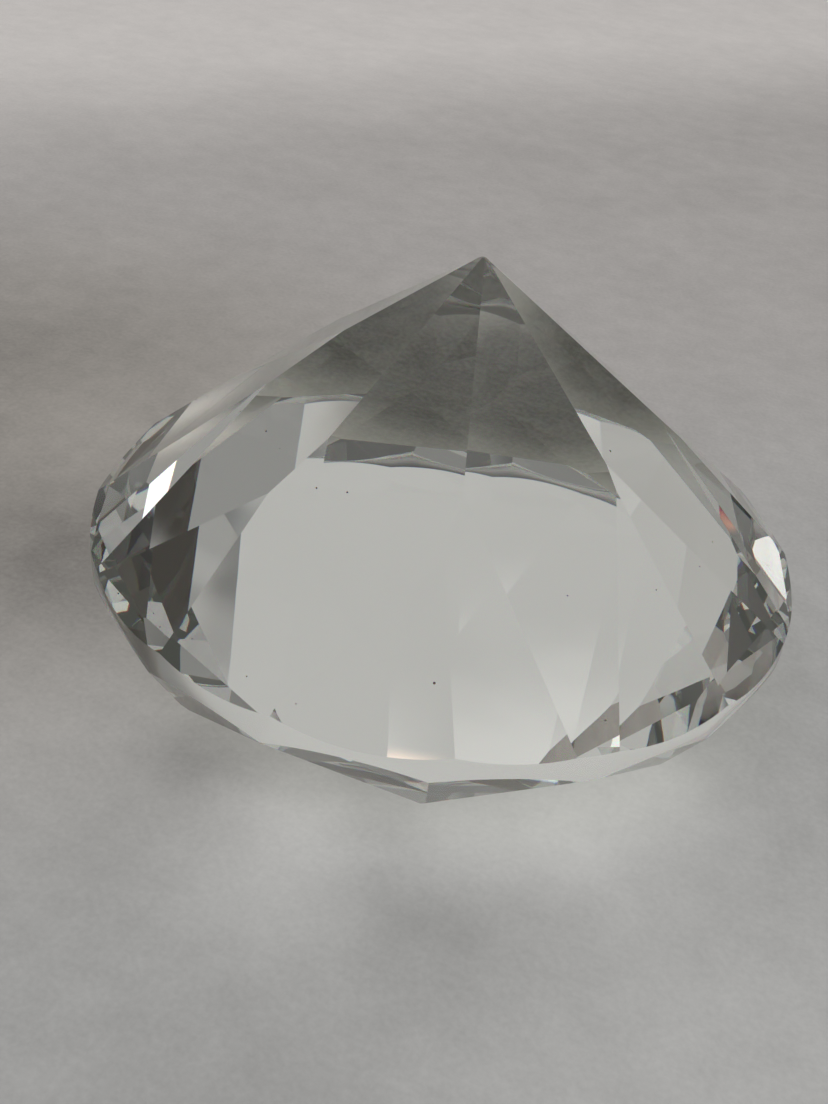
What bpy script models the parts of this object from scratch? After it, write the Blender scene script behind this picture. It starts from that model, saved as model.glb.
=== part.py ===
"""Crystal paperweight: one solid piece of clear optical glass, ground and polished as a
round brilliant gem that rests on its table with the point up.

The blank is a round cylinder. Each tier of facets is then ground off it the way a facetter
does: a flat lap at one tilt, once for each index position round the axis. What is left of
the cylinder between the crown and the pavilion is the girdle, a band with scalloped edges.

Frame: metres, +Z up, origin at the centre of the table, which is the face it rests on.
Index position 0 faces -Y, and positions count anticlockwise seen from above.
"""

import math

import bmesh
import bpy
from mathutils import Vector

# ---------------------------------------------------------------- driving dimensions
GIRDLE_DIAMETER = 0.0800  # of the round girdle band
GIRDLE_THICKNESS = 0.0033  # of the band where its scallops meet; it is thinner in between
TABLE_RATIO = 0.718  # table diameter over girdle diameter, corner to corner
CROWN_HEIGHT_RATIO = 0.274  # crown height over girdle radius
CROWN_JUNCTION_RATIO = 0.890  # radius where star, kites and upper halves meet, over girdle radius
PAVILION_HEIGHT_RATIO = 0.825  # girdle to the theoretical point, over girdle radius
LOWER_JUNCTION_RATIO = 0.532  # radius where two mains and two lower halves meet, over girdle radius
CULET_WIDTH = 0.0006  # the tiny flat that blunts the point, across its flats

MAINS = 8  # pavilion mains, crown kites and stars
HALVES = 2 * MAINS  # lower halves, and as many upper halves
GIRDLE_SEGMENTS = 12 * HALVES  # steps round the band, with one falling on every scallop's end

TOUCH = 2e-7  # a corner this near a lap already lies on it

# ---------------------------------------------------------------- derived dimensions
STEP = 2 * math.pi / HALVES  # angle of one index position

# Distances from the axis.
GIRDLE_RADIUS = GIRDLE_DIAMETER / 2
TABLE_RADIUS = TABLE_RATIO * GIRDLE_RADIUS  # to a corner of the table
TABLE_APOTHEM = TABLE_RADIUS * math.cos(STEP)  # to a side of the eight-sided table
CROWN_JUNCTION_RADIUS = CROWN_JUNCTION_RATIO * GIRDLE_RADIUS
LOWER_JUNCTION_RADIUS = LOWER_JUNCTION_RATIO * GIRDLE_RADIUS
GIRDLE_APOTHEM = GIRDLE_RADIUS * math.cos(STEP / 2)  # to the chord between two scallop ends

# Heights.
CROWN_HEIGHT = CROWN_HEIGHT_RATIO * GIRDLE_RADIUS
PAVILION_HEIGHT = PAVILION_HEIGHT_RATIO * GIRDLE_RADIUS
CROWN_EDGE_Z = CROWN_HEIGHT  # where the band's lower scallops meet
PAVILION_EDGE_Z = CROWN_EDGE_Z + GIRDLE_THICKNESS  # where its upper scallops meet
POINT_Z = PAVILION_EDGE_Z + PAVILION_HEIGHT  # where the mains would meet in a sharp point

# The junctions' distances below the crown edge and above the pavilion edge.
# Each junction lies in the plane of its kite or main.
CROWN_JUNCTION_DEPTH = (
    CROWN_HEIGHT
    * (GIRDLE_RADIUS - CROWN_JUNCTION_RADIUS * math.cos(STEP))
    / (GIRDLE_RADIUS - TABLE_RADIUS)
)
LOWER_JUNCTION_HEIGHT = (
    PAVILION_HEIGHT
    * (GIRDLE_RADIUS - LOWER_JUNCTION_RADIUS * math.cos(STEP))
    / GIRDLE_RADIUS
)

# Tilts of the tiers, measured from the table's plane.
MAIN_TILT = math.atan2(PAVILION_HEIGHT, GIRDLE_RADIUS)
LOWER_HALF_TILT = math.atan2(
    LOWER_JUNCTION_HEIGHT, GIRDLE_APOTHEM - LOWER_JUNCTION_RADIUS * math.cos(STEP / 2)
)
KITE_TILT = math.atan2(CROWN_HEIGHT, GIRDLE_RADIUS - TABLE_RADIUS)
UPPER_HALF_TILT = math.atan2(
    CROWN_JUNCTION_DEPTH, GIRDLE_APOTHEM - CROWN_JUNCTION_RADIUS * math.cos(STEP / 2)
)
STAR_TILT = math.atan2(
    CROWN_HEIGHT - CROWN_JUNCTION_DEPTH, CROWN_JUNCTION_RADIUS - TABLE_APOTHEM
)

# ---------------------------------------------------------------- index positions and sides
MAIN_POSITIONS = range(0, HALVES, 2)  # mains and kites
STAR_POSITIONS = range(1, HALVES, 2)
HALF_POSITIONS = [k + 0.5 for k in range(HALVES)]  # lower and upper halves

FACING_UP = 1  # pavilion, above the girdle
FACING_DOWN = -1  # crown, below the girdle

# Tiers in grinding order: index positions, a point on the lap (distance from the axis
# and height), tilt, and the side the facets face.
TIERS = (
    (MAIN_POSITIONS, GIRDLE_RADIUS, PAVILION_EDGE_Z, MAIN_TILT, FACING_UP),
    (HALF_POSITIONS, GIRDLE_APOTHEM, PAVILION_EDGE_Z, LOWER_HALF_TILT, FACING_UP),
    (MAIN_POSITIONS, GIRDLE_RADIUS, CROWN_EDGE_Z, KITE_TILT, FACING_DOWN),
    (HALF_POSITIONS, GIRDLE_APOTHEM, CROWN_EDGE_Z, UPPER_HALF_TILT, FACING_DOWN),
    (STAR_POSITIONS, TABLE_APOTHEM, 0, STAR_TILT, FACING_DOWN),
)


def clear_scene():
    for obj in list(bpy.data.objects):
        bpy.data.objects.remove(obj, do_unlink=True)


def optical_glass():
    material = bpy.data.materials.new("optical_glass")
    material.use_nodes = True
    settings = {
        "Base Color": (0.96, 0.97, 0.96, 1.0),
        "Roughness": 0.0,
        "Metallic": 0.0,
        "IOR": 1.51,
        "Transmission Weight": 1.0,
    }
    inputs = material.node_tree.nodes["Principled BSDF"].inputs
    for label, value in settings.items():
        inputs[label].default_value = value
    return material


def at_index(index, radius, z):
    """Vector at an index position, from its distance off the axis and its height."""
    turn = index * STEP
    return Vector((radius * math.sin(turn), -radius * math.cos(turn), z))


def grind(bm, point, normal):
    """Takes off everything outside one flat lap and closes the cut with a facet."""
    cut = bmesh.ops.bisect_plane(
        bm,
        geom=bm.verts[:] + bm.edges[:] + bm.faces[:],
        dist=TOUCH,
        plane_co=point,
        plane_no=normal,
        clear_outer=True,
    )
    rim = [
        item
        for item in cut["geom_cut"]
        if isinstance(item, bmesh.types.BMEdge) and item.is_boundary
    ]
    if rim:
        bmesh.ops.edgeloop_fill(bm, edges=rim)


def add_blank(bm):
    """The round cylinder, standing on the table's plane."""
    bmesh.ops.create_cone(
        bm,
        cap_ends=True,
        segments=GIRDLE_SEGMENTS,
        radius1=GIRDLE_RADIUS,
        radius2=GIRDLE_RADIUS,
        depth=POINT_Z,
    )
    bmesh.ops.translate(bm, verts=bm.verts, vec=(0, 0, POINT_Z / 2))


def grind_culet(bm):
    """The flat a touch below the theoretical point."""
    drop = CULET_WIDTH / 2 * math.tan(MAIN_TILT)
    grind(bm, Vector((0, 0, POINT_Z - drop)), Vector((0, 0, 1)))


def cut_gem(name):
    bm = bmesh.new()
    add_blank(bm)
    for positions, radius, z, tilt, facing in TIERS:
        for index in positions:
            normal = at_index(index, math.sin(tilt), facing * math.cos(tilt))
            grind(bm, at_index(index, radius, z), normal)
    grind_culet(bm)

    bmesh.ops.recalc_face_normals(bm, faces=bm.faces)
    mesh = bpy.data.meshes.new(name)
    bm.to_mesh(mesh)
    bm.free()
    return mesh


def main():
    clear_scene()
    parts = bpy.data.collections.new("crystal_paperweight")
    bpy.context.scene.collection.children.link(parts)

    mesh = cut_gem("crystal_body")
    mesh.materials.append(optical_glass())
    parts.objects.link(bpy.data.objects.new("crystal_body", mesh))


main()
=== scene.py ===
"""Looks for a faceted glass paperweight: finer glass body, floor, studio light and camera.

The gem lies table down on the floor with its pavilion up, its axis along +Z. Azimuths are in
degrees, 0 at +Y and 90 at +X. The camera looks from about azimuth 161, so azimuth 341 is
straight behind the gem, 71 is on the right and 251 on the left.
"""

import math

import bmesh
import bpy
from mathutils import Matrix, Vector

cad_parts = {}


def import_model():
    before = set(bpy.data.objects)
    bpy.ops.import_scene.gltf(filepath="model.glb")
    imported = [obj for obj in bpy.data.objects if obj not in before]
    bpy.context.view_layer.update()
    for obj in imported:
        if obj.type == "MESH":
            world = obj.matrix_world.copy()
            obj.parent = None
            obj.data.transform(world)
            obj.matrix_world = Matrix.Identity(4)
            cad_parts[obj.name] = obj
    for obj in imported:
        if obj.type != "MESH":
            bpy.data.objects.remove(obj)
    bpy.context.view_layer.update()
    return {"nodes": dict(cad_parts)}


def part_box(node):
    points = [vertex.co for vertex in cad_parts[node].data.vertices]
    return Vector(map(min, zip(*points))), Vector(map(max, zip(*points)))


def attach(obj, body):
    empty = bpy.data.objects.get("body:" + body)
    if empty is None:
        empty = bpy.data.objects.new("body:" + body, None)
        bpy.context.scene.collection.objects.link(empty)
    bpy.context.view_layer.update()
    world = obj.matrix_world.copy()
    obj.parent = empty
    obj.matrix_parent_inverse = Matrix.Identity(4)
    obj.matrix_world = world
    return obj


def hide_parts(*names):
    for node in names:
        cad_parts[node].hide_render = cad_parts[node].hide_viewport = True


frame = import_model()

scene = bpy.context.scene
NODE = "crystal_body"
cad = frame["nodes"][NODE]
low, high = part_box(NODE)
RADIUS = (high.x - low.x) / 2  # of the girdle, corner to corner
MIDDLE = Vector(((low.x + high.x) / 2, (low.y + high.y) / 2, 0))
GIRDLE_Z = max(
    v.co.z for v in cad.data.vertices if (v.co.xy - MIDDLE.xy).length > 0.99 * RADIUS
)
CENTRE = Vector((MIDDLE.x, MIDDLE.y, GIRDLE_Z))
FLOOR_GAP = 0.0002  # between the table and the floor


# ------------------------------------------------------------------ helpers
def add_object(name, data):
    obj = bpy.data.objects.new(name, data)
    scene.collection.objects.link(obj)
    return obj


def mesh_object(name, shape):
    """Turns a finished bmesh into an object."""
    mesh = bpy.data.meshes.new(name)
    shape.to_mesh(mesh)
    shape.free()
    return add_object(name, mesh)


class Tree:
    """Adds nodes to the emptied tree of a material or world."""

    def __init__(self, owner):
        owner.use_nodes = True
        self.tree = owner.node_tree
        self.tree.nodes.clear()

    def node(self, kind, inputs=None, **settings):
        """Inputs map a socket's name or number to a value, or to the socket that feeds it."""
        node = self.tree.nodes.new("ShaderNode" + kind)
        for key, value in settings.items():
            setattr(node, key, value)
        for key, value in (inputs or {}).items():
            if isinstance(value, bpy.types.NodeSocket):
                self.tree.links.new(value, node.inputs[key])
            else:
                node.inputs[key].default_value = value
        return node

    def math(self, operation, *values):
        return self.node("Math", dict(enumerate(values)), operation=operation).outputs[0]

    def total(self, parts):
        parts = iter(parts)
        result = next(parts)
        for part in parts:
            result = self.math("ADD", result, part)
        return result

    def vector(self, operation, *values):
        node = self.node("VectorMath", dict(enumerate(values)), operation=operation)
        return node.outputs[int(operation in ("DISTANCE", "DOT_PRODUCT"))]

    def scaled(self, vector, scale):
        node = self.node("VectorMath", {0: vector, "Scale": scale}, operation="SCALE")
        return node.outputs[0]

    def mix_color(self, factor, first, second):
        return self.node("Mix", {0: factor, 6: first, 7: second}, data_type="RGBA").outputs[2]

    def ramp(self, value, start, end, at_start=0.0, at_end=1.0, kind="SMOOTHSTEP"):
        inputs = dict(enumerate((value, start, end, at_start, at_end)))
        return self.node("MapRange", inputs, interpolation_type=kind).outputs[0]


# ------------------------------------------------------------------ the glass body
STEP = 22.5  # degrees from one facet index to the next
CROWN_TURN = -1.72  # how far the hand-set crown is turned against the pavilion, in degrees
EDGE_WIDTH = 0.00010  # polished edge between two facets
SHARP = math.radians(4)  # edges sharper than this are polished
ROUND = 960  # steps round the girdle band
LEVEL = 0.999  # facets whose normal has at least this z lie level
# How each hand-set cut misses its ideal place: turn and tilt in degrees, depth in millimetres.
MISS = {
    "main": [
        (0.1, 0.2, 0.12), (0.6, -0.4, 0.03), (0.6, -0.4, 0.05), (-0.8, 0.1, 0.01),
        (0.2, -0.3, -0.34), (-1.1, 0.4, -0.12), (0.3, 0.8, 0.18), (0.6, 0, -0.08),
    ],
    "lower_half": [
        (0.1, -1.6, 0.8), (0.6, 0.5, -0.01), (0.6, -0.1, 0.03), (-0.2, 0.2, -0.08),
        (0.6, 0, 0), (0, -0.1, 0.21), (-0.3, -0.4, 0.08), (-0.7, 0.9, -0.54),
        (0.4, -0.2, 0.01), (0.9, 0.2, -0.29), (1.3, -0.1, 0.05), (-0.2, 0.1, 0.1),
        (0, 0.9, -0.62), (-0.6, 0, -0.16), (0.7, -0.8, 0.4), (-1.3, 0.4, -0.03),
    ],
    "upper_half": [
        (0.6, -0.6, -0.28), (-0.9, -0.1, -0.01), (0.1, -0.1, 0.11), (-0.8, -0.1, -0.1),
        (0.4, 0.1, 0.09), (0.6, -0.3, 0.04), (0.8, 0, -0.14), (-0.6, 0.1, -0.11),
        (-0.7, 1.2, 0.16), (-0.4, 0.5, -0.37), (-0.2, -0.2, 0.07), (-0.5, -0.8, -0.3),
        (-0.8, 0, -0.11), (-0.1, -0.1, 0.01), (-1, 0.5, 0.23), (-0.4, -0.2, 0.13),
    ],
    "kite": [
        (0.9, -1, -0.27), (-0.6, -0.1, -0.03), (-1.3, 0.2, -0.18), (0.7, 0, -0.16),
        (0.6, -0.2, -0.43), (1.4, -0.1, -0.18), (0.1, 0.5, 0.12), (0, 0.1, 0.1),
    ],
    "star": [
        (0, -0.1, 0.05), (-2.4, -0.5, -0.18), (-0.6, 0.1, 0.22), (0.7, 0.8, 0.25),
        (-0.7, -1.1, -0.24), (0.3, 0.1, -0.35), (0.5, 0, 0.05), (0.2, -0.4, -0.26),
    ],
}


def facets_of(source):
    """Point and outward normal of every flat facet of the CAD solid, without its girdle band."""
    solid = bmesh.new()
    solid.from_mesh(source.data)
    bmesh.ops.remove_doubles(solid, verts=solid.verts, dist=2e-6)
    bmesh.ops.dissolve_limit(
        solid, angle_limit=math.radians(0.2), verts=solid.verts, edges=solid.edges
    )
    bmesh.ops.recalc_face_normals(solid, faces=solid.faces)
    found = [
        (face.calc_center_median(), face.normal.copy())
        for face in solid.faces
        if abs(face.normal.z) > 0.05 and face.calc_area() > 1e-7
    ]
    solid.free()
    return found


def placed(normal):
    """Tier and number of a facet, from the way it faces."""
    place = math.degrees(math.atan2(normal.x, -normal.y)) / STEP % 16
    if abs(place - round(place)) > 0.25:
        return ("lower_half" if normal.z > 0 else "upper_half"), int(place)
    place = round(place) % 16
    if normal.z > 0:
        return "main", place // 2
    return ("star" if place % 2 else "kite"), place // 2


def hand_set(normal, out):
    """Normal and distance from the centre of a sloping facet, with its miss."""
    tier, index = placed(normal)
    turn, tilt, depth = MISS[tier][index]
    if normal.z < 0:
        turn += CROWN_TURN
    around = math.atan2(normal.x, -normal.y) + math.radians(turn)
    rise = math.asin(normal.z) + math.radians(tilt)
    level = math.cos(rise)
    missed = Vector((level * math.sin(around), -level * math.cos(around), math.sin(rise)))
    return missed, out + depth / 1000


def grind(solid, point, normal):
    """Takes off everything outside one flat lap and closes the cut with a facet."""
    cut = bmesh.ops.bisect_plane(
        solid,
        geom=solid.verts[:] + solid.edges[:] + solid.faces[:],
        dist=1e-7,
        plane_co=point,
        plane_no=normal,
        clear_outer=True,
    )
    rim = [
        e for e in cut["geom_cut"] if isinstance(e, bmesh.types.BMEdge) and e.is_boundary
    ]
    if rim:
        bmesh.ops.edgeloop_fill(solid, edges=rim)


def gem(name):
    """The same facets ground off a finely round blank, with narrow polished edges."""
    solid = bmesh.new()
    height = high.z - low.z
    blank = RADIUS * 0.99999
    bmesh.ops.create_cone(
        solid, cap_ends=True, segments=ROUND, radius1=blank, radius2=blank, depth=height
    )
    bmesh.ops.translate(
        solid, verts=solid.verts, vec=(MIDDLE.x, MIDDLE.y, low.z + height / 2)
    )
    for point, normal in facets_of(cad):
        if normal.z < -LEVEL:
            continue  # the table is the blank's own flat end
        out = normal.dot(point - CENTRE)
        if normal.z < LEVEL:
            normal, out = hand_set(normal, out)
        grind(solid, CENTRE + normal * out, normal)
    bmesh.ops.recalc_face_normals(solid, faces=solid.faces)
    bmesh.ops.bevel(
        solid,
        geom=[edge for edge in solid.edges if edge.calc_face_angle(0) > SHARP],
        offset=EDGE_WIDTH,
        offset_type="WIDTH",
        segments=2,
        profile=0.5,
        affect="EDGES",
        clamp_overlap=True,
    )
    for face in solid.faces:
        from_axis = (face.calc_center_median().xy - MIDDLE.xy).length
        on_band = abs(from_axis - RADIUS) < 2e-5 and abs(face.normal.z) < 0.02
        face.smooth = on_band
        face.material_index = int(on_band)
    return mesh_object(name, solid)


IOR = 1.52
SPREAD = 0.004  # how far red and blue lie from the middle index
FRINGE = 0.35  # share of parted colours where a camera ray enters
BODY_TINT = (0.99, 0.993, 0.987)  # faint green-yellow, builds up at each flat
VEIL = (0.94, 0.945, 0.93, 1)  # the soft shadow of clear glass
WAVE_SIZE, WAVE_DEPTH = 0.009, 0.000012  # hand polish leaves the flats slightly wavy
DUST_CELL, DUST_RADIUS = 0.005, 0.00013  # specks of dust: spacing and size
DUST = (0.16, 0.15, 0.14, 1)
SPENT_DEPTH = 9.5  # bounces after which a painted grey glow replaces the light
# painted dim grey glow that stands in for the light of long paths
SPENT_GLOW = (0.07, 0.072, 0.066, 1)
GIRDLE_ROUGHNESS = 0.22


def glass_material(name, roughness=0.0):
    """Colours part where a ray enters; further in, it stays whole and meets this roughness."""
    mat = bpy.data.materials.new(name)
    mat.cycles.emission_sampling = "NONE"
    tree = Tree(mat)
    path = tree.node("LightPath").outputs
    coord = tree.node("TexCoord").outputs["Object"]
    wave = tree.node("TexNoise", {"Vector": coord, "Scale": 1 / WAVE_SIZE, "Detail": 1.0})
    bump = {"Height": wave.outputs[0], "Strength": 1.0, "Distance": WAVE_DEPTH}
    polish = tree.node("Bump", bump).outputs[0]

    def glass(color, ior, rough=0.0):
        inputs = {"Normal": polish, "Color": (*color, 1), "Roughness": rough, "IOR": ior}
        return tree.node("BsdfGlass", inputs).outputs[0]

    def either(factor, first, second):
        return tree.node("MixShader", {0: factor, 1: first, 2: second}).outputs[0]

    def both(first, second):
        return tree.node("AddShader", {0: first, 1: second}).outputs[0]

    red, green, blue = BODY_TINT
    parted = both(
        both(glass((red, 0, 0), IOR - SPREAD), glass((0, green, 0), IOR)),
        glass((0, 0, blue), IOR + SPREAD),
    )
    whole = glass(BODY_TINT, IOR, roughness)
    seen = either(tree.math("MULTIPLY", path["Is Camera Ray"], FRINGE), whole, parted)
    speck = tree.node("TexVoronoi", {"Vector": coord, "Scale": 1 / DUST_CELL})
    dusty = tree.math("LESS_THAN", speck.outputs["Distance"], DUST_RADIUS / DUST_CELL)
    seen = either(dusty, seen, tree.node("BsdfDiffuse", {"Color": DUST}).outputs[0])
    # Past this many turns inside, the glass gives out a painted dim even grey glow in place of
    # the light such paths would bring.
    spent = tree.math("GREATER_THAN", path["Ray Depth"], SPENT_DEPTH)
    seen = either(spent, seen, tree.node("Emission", {"Color": SPENT_GLOW}).outputs[0])
    gather = tree.math("MAXIMUM", path["Is Shadow Ray"], path["Is Diffuse Ray"])
    veil = tree.node("BsdfTransparent", {"Color": VEIL}).outputs[0]
    tree.node("OutputMaterial", {"Surface": either(gather, seen, veil)})
    return mat


body = gem("crystal_gem")
body.data.materials.append(glass_material("optical_glass"))
body.data.materials.append(glass_material("girdle_glass", GIRDLE_ROUGHNESS))
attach(body, "root")
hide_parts(NODE)


# ------------------------------------------------------------------ floor
FLOOR_RADIUS = 3.0
FLOOR_TONE = 0.60
# Painted light and shade on the floor: azimuth, distance and size in girdle radii, strength, and
# whether it is a patch with an even middle.
PAINTED_LIGHT_AND_SHADE = [
    (133, 0.85, 0.16, 0.50, False),  # light gathered in front of the gem
    (112, 0.87, 0.13, 0.38, False),
    (153, 0.88, 0.13, 0.36, False),
    (177, 0.90, 0.13, 0.33, False),
    (176, 1.19, 0.17, 0.20, False),
    (254, 1.14, 0.30, -0.34, False),  # soft shade on its left
    (286, 2.1, 0.90, -0.33, False),
    (200, 0.93, 0.08, -0.20, False),  # shade in front
    (155, 1.18, 0.17, -0.14, False),
    (170, 1.75, 0.45, -0.07, False),
    (135, 1.65, 0.45, 0.16, False),  # light further out
    (286, 1.60, 0.20, 0.14, False),
]
# Painted shade and light under and behind the gem: these show in full only through the glass.
HIDDEN_PAINTED_LIGHT_AND_SHADE = [
    (347, 1.12, 0.42, -0.67, True),  # painted shade under the far crown
    (320, 0.25, 0.24, -0.50, False),  # and under the far half of the table
    (298, 0.78, 0.10, 1.30, False),  # painted light gathered behind
]
HIDDEN_LOSS = 0.65  # share of the hidden painted light and shade that the camera misses when it looks directly
EVEN_WIDTH, EVEN_POWER = 1.6, 2.0  # how an even patch falls off
# Ramps over the floor: start and end in girdle radii, then the values there.
FAR_WAY = (-0.9, 0.75, 0.0)  # towards the far left
FAR_LIFT = (4.5, 7.5, 0.0, 0.5)
FAR_WARM = (-1.0, 2.0)
SIDE_WAY = (0.866, 0.5, 0.0)  # towards the right
SIDE_REACH = (4.3, 5.0, 1.0, 0.12)
GRAIN = ((0.022, 4.0, 0.05), (0.0045, 5.0, 0.045), (0.0007, 3.0, 0.05))  # size, detail, amount
NEAR_TINT = (1.0, 0.995, 0.985, 1)
FAR_TINT = (1.03, 0.985, 0.965, 1)
# Round pools of painted warm shade tint: azimuth, distance, full and end radius in girdle radii,
# colour.
PAINTED_SHADE_TINTS = [
    (278, 1.9, 0.3, 2.6, (1.05, 0.985, 0.92, 1)),
    (*HIDDEN_PAINTED_LIGHT_AND_SHADE[0][:2], 0.4, 0.8, (1.0, 0.985, 0.90, 1)),
]


def floor_material():
    mat = bpy.data.materials.new("pale_floor")
    tree = Tree(mat)
    coord = tree.node("TexCoord").outputs["Object"]
    flat = tree.scaled(coord, 1 / RADIUS)
    direct = tree.node("LightPath").outputs["Is Camera Ray"]

    def away_from(azimuth, distance):
        angle = math.radians(azimuth)
        spot = (distance * math.sin(angle), distance * math.cos(angle), 0.0)
        return tree.vector("DISTANCE", flat, spot)

    def patch(azimuth, distance, size, strength, even):
        gap = away_from(azimuth, distance)
        fall = tree.math("MULTIPLY", tree.math("MULTIPLY", gap, gap), 1 / (2 * size * size))
        if even:
            fall = tree.math("POWER", tree.math("MULTIPLY", fall, EVEN_WIDTH), EVEN_POWER)
        bell = tree.math("EXPONENT", tree.math("MULTIPLY", fall, -1.0))
        return tree.math("MULTIPLY", bell, strength)

    def mottle(size, detail, amount):
        inputs = {"Vector": coord, "Scale": 1 / size, "Detail": detail, "Roughness": 0.6}
        noise = tree.node("TexNoise", inputs).outputs[0]
        return tree.ramp(noise, 0.3, 0.7, -amount, amount, kind="LINEAR")

    # Painted light and shade go into the floor's colour; the hidden part is weakened where the
    # camera looks directly.
    shown = tree.math("MULTIPLY_ADD", direct, -HIDDEN_LOSS, 1.0)
    hidden_painted = tree.total(patch(*row) for row in HIDDEN_PAINTED_LIGHT_AND_SHADE)
    tone = tree.math("MULTIPLY_ADD", hidden_painted, shown, tree.total(patch(*row) for row in PAINTED_LIGHT_AND_SHADE))
    far = tree.vector("DOT_PRODUCT", flat, FAR_WAY)
    tone = tree.math("ADD", tone, tree.ramp(far, *FAR_LIFT))
    grain = tree.total(mottle(*row) for row in GRAIN)
    tone = tree.math("ADD", tree.math("ADD", tone, grain), 1.0)
    tone = tree.math("MULTIPLY", tone, FLOOR_TONE)
    # Not seen directly: the floor falls dark beyond the light's reach on the right.
    reach = tree.ramp(tree.vector("DOT_PRODUCT", flat, SIDE_WAY), *SIDE_REACH)
    tone = tree.math("MULTIPLY", tone, tree.math("MAXIMUM", reach, direct))
    tint = tree.mix_color(tree.ramp(far, *FAR_WARM), NEAR_TINT, FAR_TINT)
    # The painted shade is tinted warm in round pools.
    for azimuth, distance, full, end, color in PAINTED_SHADE_TINTS:
        pool = tree.ramp(away_from(azimuth, distance), full, end, 1.0, 0.0)
        tint = tree.mix_color(pool, tint, color)
    diffuse = tree.node("BsdfDiffuse", {"Color": tree.scaled(tint, tone)})
    tree.node("OutputMaterial", {"Surface": diffuse.outputs[0]})
    return mat


def floor():
    disc = bmesh.new()
    bmesh.ops.create_circle(disc, cap_ends=True, segments=96, radius=FLOOR_RADIUS)
    obj = mesh_object("floor", disc)
    obj.location = (MIDDLE.x, MIDDLE.y, low.z - FLOOR_GAP)
    obj.data.materials.append(floor_material())


floor()

# ------------------------------------------------------------------ light
# Panels at a distance: azimuth, half width, lower edge, upper edge, softness of the sides and
# of the edges (degrees), brightness.
PANELS = [
    (328.5, 34, -30, 47, 4, 14, 0.38),  # wall behind
    (325, 30, -30, 20, 6, 16, 0.05),  # its low part
    (17, 13, 35.5, 50, 2, 2, 0.17),  # grey curtain
    (327, 9, 37.6, 42, 7, 5, 0.16),  # glow on the wall
    (6, 3.5, 32.5, 36, 3, 2, 0.22),  # grey edge
    (6, 3.5, -10, 32.5, 3, 2, 0.09),  # grey edge, low
    (35, 4, 25, 33, 1, 1.5, 1.3),  # right window
    (46, 12, 18, 40, 6, 6, 0.20),  # glow round it
    (21, 6, 4, 12, 3, 3, 0.30),  # low, back right
    (248, 8.5, 29, 42, 1.5, 3.0, 1.15),  # left window
    (260, 9, 42, 53, 4, 4, 0.35),  # above it
    (220, 14, 18, 27, 4, 4, 0.45),  # low, front left
    (66, 8, 30, 48, 5, 5, 0.12),  # soft, right
    (141, 7, 15, 23, 3, 3, 0.45),  # low, front right
    (112, 8, 46, 58, 4, 4, 0.35),  # high, right
    (80, 10, 57, 64, 4, 4, 0.28),  # higher, right
    (192, 16, 21, 52, 5, 6, 0.08),  # front band
    (215, 60, 60, 100, 10, 8, 0.11),  # ceiling, front
    (330, 50, 66, 100, 10, 8, 0.22),  # ceiling, back
]
# Dark cards between them: the same, and how much they hold back.
DARK = [
    (17, 8.5, -2, 35, 2, 2, 0.62),  # under the grey curtain
    (170, 17, 2, 27, 5, 4, 0.8),  # front, low
    (205, 7, 44, 56, 4, 4, 0.8),  # front, high
    (352, 12, 50, 60, 6, 4, 0.5),  # over the wall
    (45, 25, -8, 6, 6, 4, 0.55),  # right foot
    (93, 12, 28, 42, 5, 5, 0.85),  # right side
    (272, 18, -8, 14, 4, 4, 0.30),  # left foot
    (150, 22, 28, 52, 6, 6, 0.30),  # the viewer
    (292, 14, 22, 60, 10, 6, 0.14),  # left end of the wall
    (309, 5, 30, 60, 6, 6, 0.08),  # left part of the wall
]
DARK_TINT = (0.94, 1.0, 1.07)  # how the cards hold back red, green and blue
# Small warm lamps that show as glints: the same as a panel, and a colour.
LAMPS = [
    (336, 1.9, 39.4, 41.6, 2.4, 1.8, 1.2, (1.0, 0.66, 0.45)),  # straight behind
    (289, 0.5, 35.4, 36.6, 0.4, 0.5, 0.8, (1.0, 0.40, 0.32)),  # back left
]
BASE = 0.115  # brightness everywhere
TINT = (1.0, 0.992, 0.955)
BACKDROP = (0.40, 0.395, 0.385, 1)


def world():
    studio = bpy.data.worlds.new("studio")
    scene.world = studio
    tree = Tree(studio)
    ray = tree.node("TexCoord").outputs["Generated"]
    x, y, z = tree.node("SeparateXYZ", {0: ray}).outputs
    around = tree.math("ARCTAN2", x, y)
    elevation = tree.math("ARCSINE", z)

    def shape(azimuth, half, bottom, top, side, edge):
        azimuth, half, bottom, top, side, edge = (
            math.radians(v) for v in (azimuth, half, bottom, top, side / 2, edge / 2)
        )
        away = tree.math("WRAP", tree.math("SUBTRACT", around, azimuth), math.pi, -math.pi)
        away = tree.math("ABSOLUTE", away)
        inside = tree.ramp(away, half - side, half + side, 1.0, 0.0)
        above = tree.ramp(elevation, bottom - edge, bottom + edge)
        below = tree.ramp(elevation, top - edge, top + edge, 1.0, 0.0)
        return tree.math("MULTIPLY", tree.math("MULTIPLY", inside, above), below)

    glow = tree.total(
        tree.math("MULTIPLY", shape(*where), strength) for *where, strength in PANELS
    )
    color = tree.scaled(TINT, tree.math("ADD", glow, BASE))
    for *where, strength in DARK:
        held = tree.scaled(tuple(strength * part for part in DARK_TINT), shape(*where))
        passed = tree.vector("SUBTRACT", (1.0, 1.0, 1.0), held)
        color = tree.vector("MULTIPLY", color, passed)
    for *where, strength, tint in LAMPS:
        glint = tree.math("MULTIPLY", shape(*where), strength)
        color = tree.vector("ADD", color, tree.scaled(tint, glint))
    # Behind the floor's edge the camera itself sees a plain pale backdrop.
    direct = tree.node("LightPath").outputs["Is Camera Ray"]
    back = tree.node("Background", {"Color": tree.mix_color(direct, color, BACKDROP)})
    tree.node("OutputWorld", {"Surface": back.outputs[0]})


world()


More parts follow.
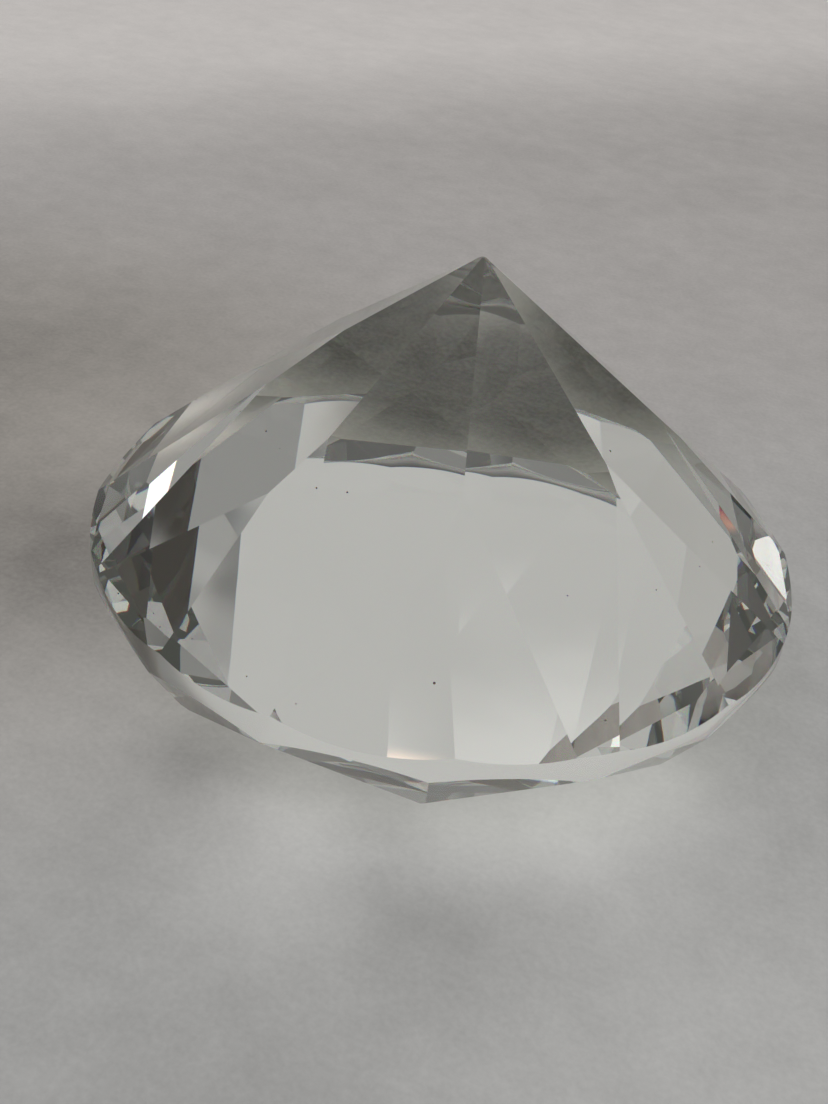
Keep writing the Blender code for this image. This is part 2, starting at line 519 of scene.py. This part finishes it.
def overhead_light(azimuth, elevation, distance, size, power):
    """A disk lamp, aimed at the gem, that the camera and the glass don't show."""
    data = bpy.data.lights.new("overhead", "AREA")
    data.shape = "DISK"
    data.size = size
    data.energy = power
    obj = add_object("overhead", data)
    around, rise = math.radians(azimuth), math.radians(elevation)
    level = math.cos(rise)
    way = Vector((math.sin(around) * level, math.cos(around) * level, math.sin(rise)))
    obj.location = MIDDLE + way * distance
    obj.rotation_euler = way.to_track_quat("Z", "Y").to_euler()
    obj.visible_camera = False
    obj.visible_glossy = False
    obj.visible_transmission = False


overhead_light(azimuth=200, elevation=66, distance=3.0, size=2.2, power=40.0)


# ------------------------------------------------------------------ camera
SENSOR, LENS = 36.0, 45.1147826  # millimetres
DISTANCE = 3.9971  # from the girdle's centre, in girdle radii
# Angles in radians: downward pitch, roll, and turn about Z, clockwise from above, from -Y.
PITCH, ROLL, TURN = 0.56516, -0.13738, -0.32485
# How far right of and above the view's middle the girdle's centre falls, in radians.
AIM_RIGHT, AIM_UP = 0.0226846128, 0.0203024968


def rotated(first, second, angle):
    cosine, sine = math.cos(angle), math.sin(angle)
    return first * cosine - second * sine, first * sine + second * cosine


def camera():
    cosine, sine = math.cos(TURN), math.sin(TURN)
    turn = Matrix(((cosine, sine, 0), (-sine, cosine, 0), (0, 0, 1)))
    right = Vector((1, 0, 0))
    ahead = Vector((0, math.cos(PITCH), -math.sin(PITCH)))
    up = Vector((0, math.sin(PITCH), math.cos(PITCH)))

    def to_object(x, y, z):
        """A direction right, up and ahead of the camera, in the gem's axes."""
        x, z = rotated(x, z, AIM_RIGHT)
        y, z = rotated(y, z, AIM_UP)
        x, y = rotated(x, y, -ROLL)
        return turn @ (right * x + up * y + ahead * z)

    data = bpy.data.cameras.new("camera")
    data.sensor_fit = "AUTO"
    data.sensor_width = SENSOR
    data.lens = LENS
    data.clip_start = 0.005
    obj = add_object("camera", data)
    place = turn @ Vector((0, -DISTANCE * math.cos(PITCH), DISTANCE * math.sin(PITCH)))
    axes = Matrix((to_object(1, 0, 0), to_object(0, 1, 0), -to_object(0, 0, 1)))
    pose = axes.transposed().to_4x4()
    pose.translation = place * RADIUS + CENTRE
    obj.matrix_world = pose
    scene.camera = obj


camera()

scene.view_settings.view_transform = "Standard"
scene.cycles.max_bounces = 24
scene.cycles.transmission_bounces = 24
scene.cycles.glossy_bounces = 16
scene.cycles.diffuse_bounces = 4
scene.cycles.sample_clamp_indirect = 6.0
scene.cycles.caustics_reflective = False
scene.cycles.caustics_refractive = False
